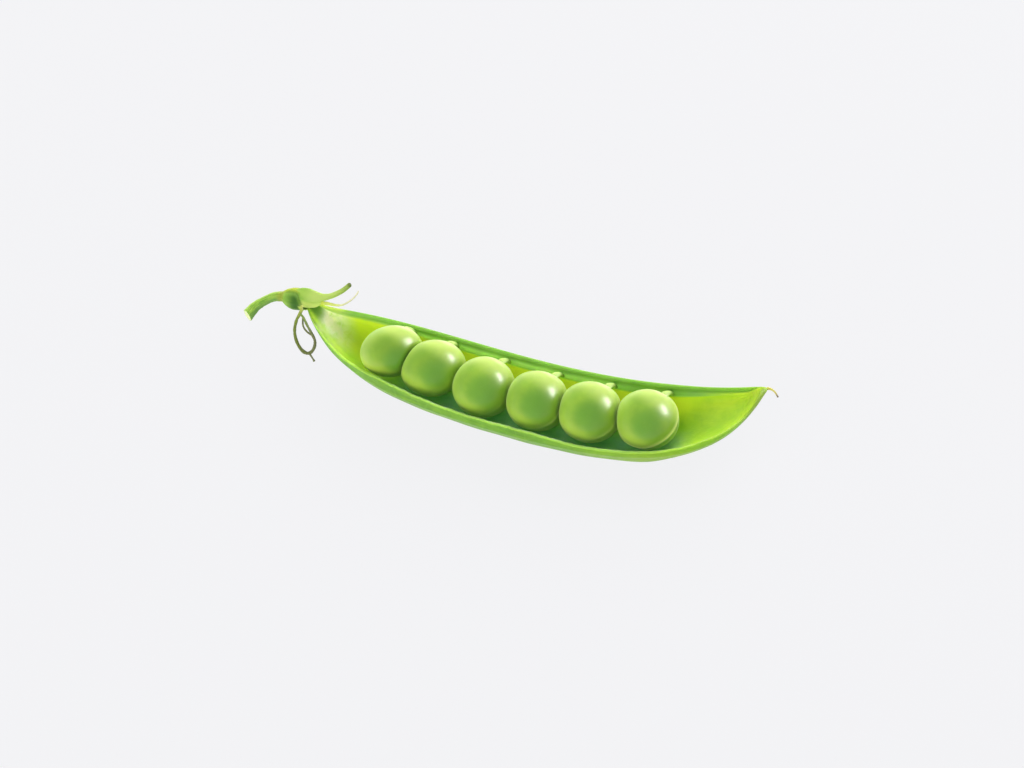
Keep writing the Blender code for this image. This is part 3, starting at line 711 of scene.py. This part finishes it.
calyx = {
    "centre": (10.5, 6.6), "start": -46.1, "rim": -42.7, "wall": 0.22,
    "profile": [(0.0, 0.8), (0.12, 1.1), (0.3, 1.52), (0.5, 1.8), (0.75, 1.93), (1.0, 1.9)],
    # each lobe: direction round the cup in degrees, half width in degrees, length, how far its tip
    # spreads, and how blunt it is
    "lobes": [(100.0, 62.0, 4.9, 0.1, 2.6), (186.0, 30.0, 1.3, 0.0, 2.0), (244.0, 34.0, 3.0, -0.3, 1.7),
              (308.0, 34.0, 3.2, 0.1, 1.7), (8.0, 34.0, 2.7, 0.0, 1.7)],
    "groove": (86.0, 164.0),     # the front lobe's near edge, along the cup and beyond its rim
    "grooveTurns": (-43.2, -40.9),   # between these the edge turns down
    "otherGrooves": (215.0, 276.0, 338.0, 38.0),
    "grooveDepth": 0.15, "grooveSpread": 13.0,
    # a low swelling: height, direction and half width in degrees, place and half length up the cup
    "swelling": (0.12, 195.0, 26.0, 0.75, 0.4),
    "uneven": 0.02, "tuck": 0.1,     # unevenness around; how far the rim turns back and in
    "baseWall": 0.12,
    "shadedAt": -42.9, "shadedLength": 1.5,
    "rows": 150, "columns": 220,
    "paint": {
        "body": ((128, 172, 60), (172, 182, 46)), "farLobe": ((112, 160, 56), 0.8),
        "streak": ((164, 198, 80), 0.5), "grain": ((96, 146, 46), 0.25),
        "frontLobe": ((194, 214, 106), 0.95), "shaded": ((40, 90, 24), 0.9),
        # the groove colour is painted shade in the grooves
        "groove": ((44, 84, 30), 0.4), "edge": ((196, 220, 112), 0.8), "joint": ((150, 152, 44), 0.6),
        "spike": ((180, 202, 104), 0.8), "spikeEnd": ((122, 146, 62), 0.6),
        "spikePoint": ((88, 96, 50), 0.8),
    },
}


def degreesFrom(towards, angle):
    return (angle - towards + 180) % 360 - 180


def cupSheet(offset):
    # radius and x over angle and v: below the rim the profile turned about the axis, beyond it each
    # lobe's own length times v, with grooves between the lobes
    v = np.linspace(0.0, 1.0, calyx["rows"])[:, None]
    angle = np.linspace(0.0, 360.0, calyx["columns"], endpoint=False)[None, :]
    cup = np.clip(v / 0.5, 0.0, 1.0)
    out = np.clip((v - 0.5) / 0.5, 0.0, 1.0)
    radius = readOff(calyx["profile"], cup)
    x = blend(calyx["start"], calyx["rim"], cup)
    length = np.zeros_like(angle)
    spread = np.zeros_like(angle)
    for towards, half, reach, flare, blunt in calyx["lobes"]:
        blade = np.abs(degreesFrom(towards, angle)) / half
        blade = np.clip(1 - blade**blunt, 0.0, 1.0)**(1 / blunt)
        length = np.maximum(length, reach * blade)
        spread = spread + flare * blade
    x = x + out * (length - calyx["tuck"])
    edge = blend(*calyx["groove"], smoothstep(*calyx["grooveTurns"], x))
    beyond = degreesFrom(edge, angle)
    groove = hump(beyond, calyx["grooveSpread"]) * (1 - smoothstep(0.35, 0.6, out))
    for towards in calyx["otherGrooves"]:
        other = hump(degreesFrom(towards, angle), calyx["grooveSpread"])
        groove = np.maximum(groove, other * (1 - out))
    groove = groove * smoothstep(0.05, 0.5, cup)
    height, towards, half, up, tall = calyx["swelling"]
    bulge = height * hump(degreesFrom(towards, angle), half) * hump(cup - up, tall)
    radius = (radius - calyx["grooveDepth"] * groove + bulge + spread * out**1.6
              - calyx["tuck"] * out + calyx["uneven"] * waves(angle / 30, 1.2, 51) + offset)
    shaded = smoothstep(-8.0, 34.0, beyond) * hump(x - calyx["shadedAt"], calyx["shadedLength"])
    shaded = shaded * (1 - smoothstep(0.3, 0.6, out))
    shaded = shaded * (1 - 0.5 * smoothstep(172.0, 200.0, angle))
    shaded = shaded * (1 - smoothstep(232.0, 262.0, angle))
    toTip = np.broadcast_to(out * smoothstep(0.2, 1.0, length), groove.shape)
    a = np.radians(angle)
    y, z = calyx["centre"]
    points = np.stack([x + 0 * a, y + radius * np.cos(a), z + radius * np.sin(a)], -1)
    return points, groove, shaded, toTip


def makeCalyx(finish):
    outer, groove, shaded, toTip = cupSheet(0.0)
    inner = cupSheet(-calyx["wall"])[0]
    v = np.linspace(0.0, 1.0, calyx["rows"])[:, None]
    inner[..., 0] += calyx["baseWall"] * (1 - v)

    def twice(values):
        return np.concatenate([values, values[::-1]], axis=0)

    rings = np.concatenate([outer, inner[::-1]], axis=0)
    values = {"along": twice(v), "angle": np.linspace(0.0, 1.0, calyx["columns"], endpoint=False),
              "groove": twice(groove), "shaded": twice(shaded), "edge": twice(toTip)}
    makePiece("calyxCup", [(rings, values)], finish, ["calyx"])


spike = {
    "path": [(-43.6, 10.9, 8.0), (-41.8, 10.75, 8.4), (-39.8, 10.4, 8.7), (-38.2, 10.35, 8.9),
             (-37.0, 10.6, 9.05), (-35.9, 11.1, 9.2), (-34.45, 12.05, 9.6), (-33.1, 13.17, 10.37)],
    "width": [(0.0, 0.5), (0.12, 1.0), (0.25, 1.2), (0.38, 1.0), (0.5, 0.7), (0.62, 0.5), (1.0, 0.4)],
    "height": [(0.0, 0.16), (0.15, 0.24), (0.4, 0.32), (0.6, 0.38), (1.0, 0.34)],
    "dome": 0.03, "ribs": (5, 0.05), "flat": (0.0, -0.25, 1.0),
    "count": 160, "sides": 48,
}


def makeSpike(finish):
    path = smoothPath(spike["path"], spike["count"])
    s = np.linspace(0.0, 1.0, spike["count"])
    ends = domed(spike["count"], spike["dome"])
    angle = np.linspace(0.0, 2 * pi, spike["sides"], endpoint=False)[None, :]
    ribs, high = spike["ribs"]
    ribbed = 1 + high * np.cos(ribs * angle + 1.0)
    widths = (readOff(spike["width"], s) * ends)[:, None] * ribbed
    heights = (readOff(spike["height"], s) * ends)[:, None] * ribbed
    rings = carried(path, widths, heights, spike["sides"], spike["flat"])
    values = {"along": 1.0 + s[:, None], "angle": 0.3 + 0.03 * np.sin(angle), "groove": 0.0,
              "shaded": 0.0, "edge": 0.0}
    makePiece("calyxSpike", [(rings, values)], finish, ["calyx"])


def calyxSkin():
    # yellow lime above, green on the far side, the front lobe paler with a light edge, painted shade in
    # dark green beyond that edge and in the grooves, brownish at the joint, a dry dark point on the
    # spike; along runs from 0 to 1 over the cup and from 1 to 2 over the spike
    skin = Surface("calyxSkin", {"Roughness": 0.5, "Specular IOR Level": 0.3,
                                 **soft(0.2, (0.6, 0.9, 0.2), 0.7)}, calyx["paint"])
    along = skin.attribute("along")
    angle = skin.attribute("angle")
    flow = skin.node("ShaderNodeCombineXYZ", {}, {0: along * 1.2, 1: angle * 14.0, 2: 0.0})
    streaks = skin.noise(flow, 2.2, 4.0, 0.6)
    grain = skin.noise(skin.place(), 2.6, 4.0, 0.6)
    far = skin.falling(angle, 0.16, 0.28)
    front = skin.between(angle, 0.3, 0.39) * skin.falling(angle, 0.46, 0.52)
    body = skin.cover(
        skin.ground("body", far),
        farLobe=skin.between(along, 0.58, 0.7) * far, streak=skin.between(streaks, 0.4, 0.7),
        grain=skin.between(grain, 0.5, 0.75), frontLobe=skin.between(along, 0.54, 0.66) * front,
        # painted shade: dark green beyond the front lobe's edge and in the grooves
        shaded=skin.attribute("shaded"), groove=skin.attribute("groove"),
        edge=skin.between(skin.attribute("edge"), 0.62, 0.98), joint=skin.falling(along, 0.02, 0.16),
        spike=skin.between(along, 1.15, 1.4), spikeEnd=skin.between(along, 1.7, 1.96),
        spikePoint=skin.between(along, 1.93, 1.99))
    skin.feed(baseColour=body, normal=skin.bump(streaks + grain * 0.5, 0.06, 0.7))
    return skin.material


# Stalk

stalk = {
    "path": [(-51.9, 6.6, 4.6), (-50.8, 8.3, 5.2), (-49.0, 9.55, 5.9), (-47.5, 10.2, 6.4),
             (-45.9, 10.45, 6.6)],
    "radii": [(0.0, 1.02), (0.1, 0.98), (0.3, 0.84), (0.55, 0.75), (0.78, 0.78), (0.9, 0.86),
              (1.0, 0.82)],
    "flat": (0.3, -0.2, 1.0),
    "cut": (-0.55, -0.82, 0.12),   # the way the cut faces
    # rings of the cut's face: share of its radius, how deep they lie, how much they are cut colour
    "face": [(0.02, 0.06, 1.0), (0.35, 0.05, 1.0), (0.62, 0.06, 1.0), (0.8, 0.03, 1.0),
             (0.9, 0.0, 0.75), (0.965, 0.0, 0.5)],
    "count": 150, "sides": 72, "ribs": (6, 0.045), "fineRibs": (17, 0.015), "uneven": 0.02,
    "paint": {
        "body": ((104, 156, 50), (168, 202, 76)), "grain": ((190, 212, 104), 0.3),
        # painted shade below and painted light above
        "below": ((80, 130, 42), 0.65), "above": ((176, 204, 76), 0.5),
        "joint": ((150, 154, 46), 0.6), "cut": ((222, 226, 168), (200, 214, 136)),
    },
}


def makeStalk():
    path = smoothPath(stalk["path"], stalk["count"])
    s = np.linspace(0.0, 1.0, stalk["count"])
    angle = np.linspace(0.0, 2 * pi, stalk["sides"], endpoint=False)[None, :]
    radius = readOff(stalk["radii"], s)[:, None]
    (ribs, high), (fine, low) = stalk["ribs"], stalk["fineRibs"]
    ribbed = 1 + high * np.cos(ribs * angle + 0.8 * s[:, None]) + low * np.cos(fine * angle)
    radius = radius * ribbed + stalk["uneven"] * waves(s * 7.0, 1.0, 31)[:, None]
    rings = carried(path, radius, radius, stalk["sides"], stalk["flat"])
    # the first rings slide along the stalk until they lie in the cut
    along, cut = unit(path[1] - path[0]), unit(stalk["cut"])
    slide = -((rings - path[:, None]) @ cut) / (along @ cut)
    fade = (1 - smoothstep(0.0, 0.35, s))[:, None]
    rings = rings + (slide * fade)[..., None] * along
    size, sink, colour = np.array(stalk["face"]).T[..., None, None]
    face = path[0] + (rings[0] - path[0]) * size - cut * sink
    rings = np.concatenate([face, rings], axis=0)
    cutShare = np.r_[colour.ravel(), np.zeros(stalk["count"])]
    lengthShare = np.r_[np.zeros(len(face)), s]
    values = {"cut": cutShare[:, None], "along": lengthShare[:, None], "angle": angle / (2 * pi)}
    makePiece("stalkStem", [(rings, values)], stalkSkin(), ["stalk"])


def stalkSkin():
    # painted light in lime above, painted shade in dark green below, long fibres, a brownish ring
    # at the joint and a pale cut; above and below by the cosine of the angle around
    skin = Surface("stalkSkin", {"Roughness": 0.42, **soft(0.2, (0.6, 0.9, 0.2), 0.7)},
                   stalk["paint"])
    along = skin.attribute("along")
    angle = skin.attribute("angle")
    flow = skin.node("ShaderNodeCombineXYZ", {}, {0: along * 1.5, 1: angle * 16.0, 2: 0.0})
    streaks = skin.noise(flow, 2.0, 4.0, 0.6)
    grain = skin.noise(skin.place(), 3.0, 4.0, 0.6)
    sideways = (angle * (2 * pi)).math("COSINE")
    body = skin.cover(
        skin.ground("body", skin.between(streaks, 0.35, 0.68)), grain=skin.between(grain, 0.55, 0.78),
        # painted shade on the underside, painted light on the top
        below=skin.between(sideways, 0.1, 0.9), above=skin.falling(sideways, -0.9, -0.3),
        joint=skin.between(along, 0.8, 0.97))
    face = skin.ground("cut", skin.between(grain, 0.35, 0.7))
    body = skin.mix(skin.between(skin.attribute("cut"), 0.3, 0.9), body, face)
    skin.feed(baseColour=body, normal=skin.bump(streaks + grain * 0.4, 0.06, 0.7))
    return skin.material


# Dry threads

threads = {
    # path, points along it, radii by share of its length, flatness, seed
    "loop": ([(-41.2, 8.6, 8.2), (-41.1, 7.7, 7.95), (-41.3, 6.95, 7.6), (-41.7, 6.2, 7.0),
              (-41.9, 5.0, 6.0), (-41.6, 3.9, 5.2), (-40.9, 2.9, 4.6), (-39.9, 2.1, 4.1),
              (-38.9, 1.9, 3.9), (-38.2, 2.3, 4.1), (-37.8, 3.1, 4.7), (-37.9, 3.9, 5.4),
              (-38.6, 4.7, 6.3), (-39.4, 5.5, 7.3), (-40.2, 6.4, 7.8), (-41.1, 7.1, 7.9)],
             260, [(0.0, 0.3), (0.2, 0.27), (0.5, 0.31), (0.8, 0.24), (1.0, 0.2)], 0.8, 1),
    "strand": ([(-40.4, 6.5, 7.8), (-40.2, 5.4, 6.9), (-39.4, 4.7, 6.4), (-38.4, 4.4, 5.9)],
               60, [(0.0, 0.16), (1.0, 0.17)], 0.8, 2),
    "tail": ([(-38.7, 2.0, 4.0), (-38.2, 1.6, 3.7), (-37.5, 1.0, 3.1)],
             40, [(0.0, 0.2), (0.7, 0.14), (1.0, 0.24)], 0.8, 3),
    "filament": ([(-37.9, 9.55, 8.45), (-36.7, 9.6, 8.5), (-35.1, 9.6, 8.5), (-33.9, 9.85, 8.6),
                  (-32.7, 10.9, 8.8), (-32.0, 12.1, 9.0), (-31.9, 12.8, 9.1)],
                 120, [(0.0, 0.36), (0.3, 0.24), (0.5, 0.16), (1.0, 0.13)], 0.6, 4),
    "style": ([(42.1, 9.65, 6.6), (42.9, 9.65, 6.5), (43.5, 9.45, 6.15), (43.88, 9.15, 5.75),
               (44.07, 9.0, 5.4)],
              60, [(0.0, 0.27), (0.4, 0.17), (0.9, 0.14), (1.0, 0.16)], 0.8, 5),
    "loopFlat": (-0.1, -0.55, 0.83),     # about square to the loop's plane
    "flat": (0.0, -0.5, 0.85), "sides": 20, "dome": 0.02,
    # colours by share of the length
    "olive": [(0.0, (196, 206, 96)), (0.14, (126, 144, 50)), (0.45, (106, 116, 50)),
              (0.7, (120, 122, 82)), (1.0, (122, 148, 58))],
    "paper": [(0.0, (200, 216, 70)), (0.35, (214, 224, 120)), (0.6, (226, 224, 176)),
              (1.0, (216, 210, 176))],
    "tan": [(0.0, (216, 214, 84)), (0.6, (220, 206, 112)), (0.85, (160, 142, 104)),
            (1.0, (116, 102, 88))],
    "worn": (60, 66, 24),
}


def threadRings(name, flat="flat", start=0.0, length=1.0):
    # a thread of uneven thickness with a slow twist and domed ends, and its place on the colours
    points, count, radii, flatness, seed = threads[name]
    s = np.linspace(0.0, 1.0, count)
    radius = readOff(radii, s) * domed(count, threads["dome"])
    radius = radius * (1 + 0.08 * waves(s * 12, 1.0, seed) + 0.04 * waves(s * 40, 1.0, seed + 5))
    rings = carried(smoothPath(points, count), radius, radius * flatness, threads["sides"],
                    threads[flat], s * 5)
    return rings, {"along": (start + length * s)[:, None]}


def drySkin(name, stops, rough, worn):
    # colour along the thread, darkened by fine grain
    skin = Surface(name, {"Roughness": rough, **soft(0.1, (0.5, 0.6, 0.2), 0.5)})
    grain = skin.noise(skin.place(), 3.5, 4.0, 0.65)
    body = skin.node("ShaderNodeValToRGB", {"stops": threads[stops]}, {0: skin.attribute("along")})
    dark = skin.between(grain, 0.35, 0.75) * worn
    body = skin.mix(dark, body, shade(*threads["worn"]), "MULTIPLY")
    skin.feed(baseColour=body, normal=skin.bump(grain, 0.06, 0.8))
    return skin.material


# Floor, lights, camera

studio = {
    "theta": 20.0, "phi": 27.0, "slope": 10.5, "lens": 135.0, "sensor": 36.0,
    "pixelsPerMm": 6.0, "originPixel": (511.0, 394.0), "frame": (1024.0, 768.0),
    # each light: direction in the camera's axes, size, watts, whether it is a highlight alone
    "lights": {
        "highlight": ((0.78, 0.51, 0.36), (150.0, 300.0), 5.4, True),
        "key": ((0.3, 0.9, 0.3), (500.0, 500.0), 2.4, False),
        "behind": ((0.1, 0.95, -0.25), (500.0, 300.0), 3.2, False),
        "front": ((0.0, -0.7, 0.6), (500.0, 400.0), 1.5, False),
        "left": ((-0.9, -0.2, 0.25), (500.0, 400.0), 2.6, False),
    },
    "far": 600.0, "aim": (0.0, 0.0, 6.0),  # how far the lights stand from the point they face
    "world": 0.5, "floorGlow": 0.862, "floor": (0.035, 0.035, 0.0365),
    "floorReach": 3.0,                     # in metres
}


def cameraAxes():
    # right, up and back directions of a camera looking down from the front right, rolled by slope
    theta, phi, slope = (radians(studio[one]) for one in ("theta", "phi", "slope"))
    back = np.array([sin(theta), -cos(theta) * sin(phi), cos(theta) * cos(phi)])
    level = unit(np.array([1.0, 0.0, 0.0]) - back[0] * back)
    upright = np.cross(back, level)
    right = cos(slope) * level + sin(slope) * upright
    return np.array([right, cos(slope) * upright - sin(slope) * level, back])


def posed(name, data, *columns):
    # an object whose axes and place, in metres, are the columns
    made = bpy.data.objects.new(name, data)
    matrix = Matrix.Identity(4)
    for column, vector in enumerate(columns):
        for row in range(3):
            matrix[row][column] = vector[row]
    made.matrix_world = matrix
    bpy.context.scene.collection.objects.link(made)
    return made


def makeCamera(axes):
    right, up, back = axes
    focal = studio["lens"] / studio["sensor"] * studio["frame"][0]
    distance = focal / studio["pixelsPerMm"]
    offset = (np.array(studio["originPixel"]) - np.array(studio["frame"]) / 2) / studio["pixelsPerMm"]
    eye = np.array([0.0, 0.0, pod["rim"]]) - offset[0] * right + offset[1] * up + distance * back
    data = bpy.data.cameras.new("camera")
    data.lens = studio["lens"]
    data.sensor_width = studio["sensor"]
    data.clip_start = 0.01
    bpy.context.scene.camera = posed("camera", data, right, up, back, eye * mm)


def addSoftbox(name, axes, direction, size, watts, mirrored):
    # a rectangle of light facing the pod, its long side upright in the picture; a mirrored one
    # shows as a highlight alone, the others light without one
    data = bpy.data.lights.new(name, "AREA")
    data.shape = "RECTANGLE"
    data.size, data.size_y = size[0] * mm, size[1] * mm
    data.energy = watts
    out = unit(np.array(direction) @ axes)
    side = unit(np.cross(axes[1], out))
    place = (np.array(studio["aim"]) + out * studio["far"]) * mm
    lamp = posed(name, data, side, np.cross(out, side), out, place)
    lamp.visible_diffuse = lamp.visible_transmission = not mirrored
    lamp.visible_glossy = mirrored


def makeStudio(axes):
    floorMesh = bpy.data.meshes.new("floor")
    reach = studio["floorReach"]
    corners = [(-reach, -reach, 0.0), (reach, -reach, 0.0), (reach, reach, 0.0), (-reach, reach, 0.0)]
    floorMesh.from_pydata(corners, [], [(0, 1, 2, 3)])
    floor = bpy.data.objects.new("floor", floorMesh)
    bpy.context.scene.collection.objects.link(floor)
    paint = Surface("floorPaint", {"Base Color": (*studio["floor"], 1.0), "Roughness": 0.85,
                                   "Specular IOR Level": 0.15, "Emission Color": (0.98, 0.98, 1.0, 1.0),
                                   "Emission Strength": studio["floorGlow"]})
    floorMesh.materials.append(paint.material)
    world = bpy.data.worlds.new("studio")
    world.use_nodes = True
    background = world.node_tree.nodes["Background"]
    background.inputs["Color"].default_value = (0.97, 0.985, 1.0, 1.0)
    background.inputs["Strength"].default_value = studio["world"]
    bpy.context.scene.world = world
    bpy.context.scene.view_settings.view_transform = "Standard"
    for name, light in studio["lights"].items():
        addSoftbox(name, axes, *light)


axes = cameraAxes()
makeCamera(axes)
makeStudio(axes)
print("studio ready")

makePiece("podShell", [podSection()], podSkin(), ["pod_shell"])
makePeas(peaSkin(), axes)
makeFunicles(funicleSkin())
print("pod and peas ready")

calyxFinish = calyxSkin()
makeCalyx(calyxFinish)
makeSpike(calyxFinish)
makeStalk()

stamens = [threadRings("loop", "loopFlat"), threadRings("strand", "loopFlat", 0.5, 0.2),
           threadRings("tail", "loopFlat", 0.6, 0.1)]
dryOlive = drySkin("dryOlive", "olive", 0.55, 0.45)
palePaper = drySkin("palePaper", "paper", 0.6, 0.15)
tanTip = drySkin("tanTip", "tan", 0.6, 0.15)
makePiece("stamenThreads", stamens, dryOlive, ["stamens"])
makePiece("filamentThread", [threadRings("filament")], palePaper, ["filament"])
makePiece("styleThread", [threadRings("style")], tanTip, ["style"])
print("calyx, stalk and threads ready")
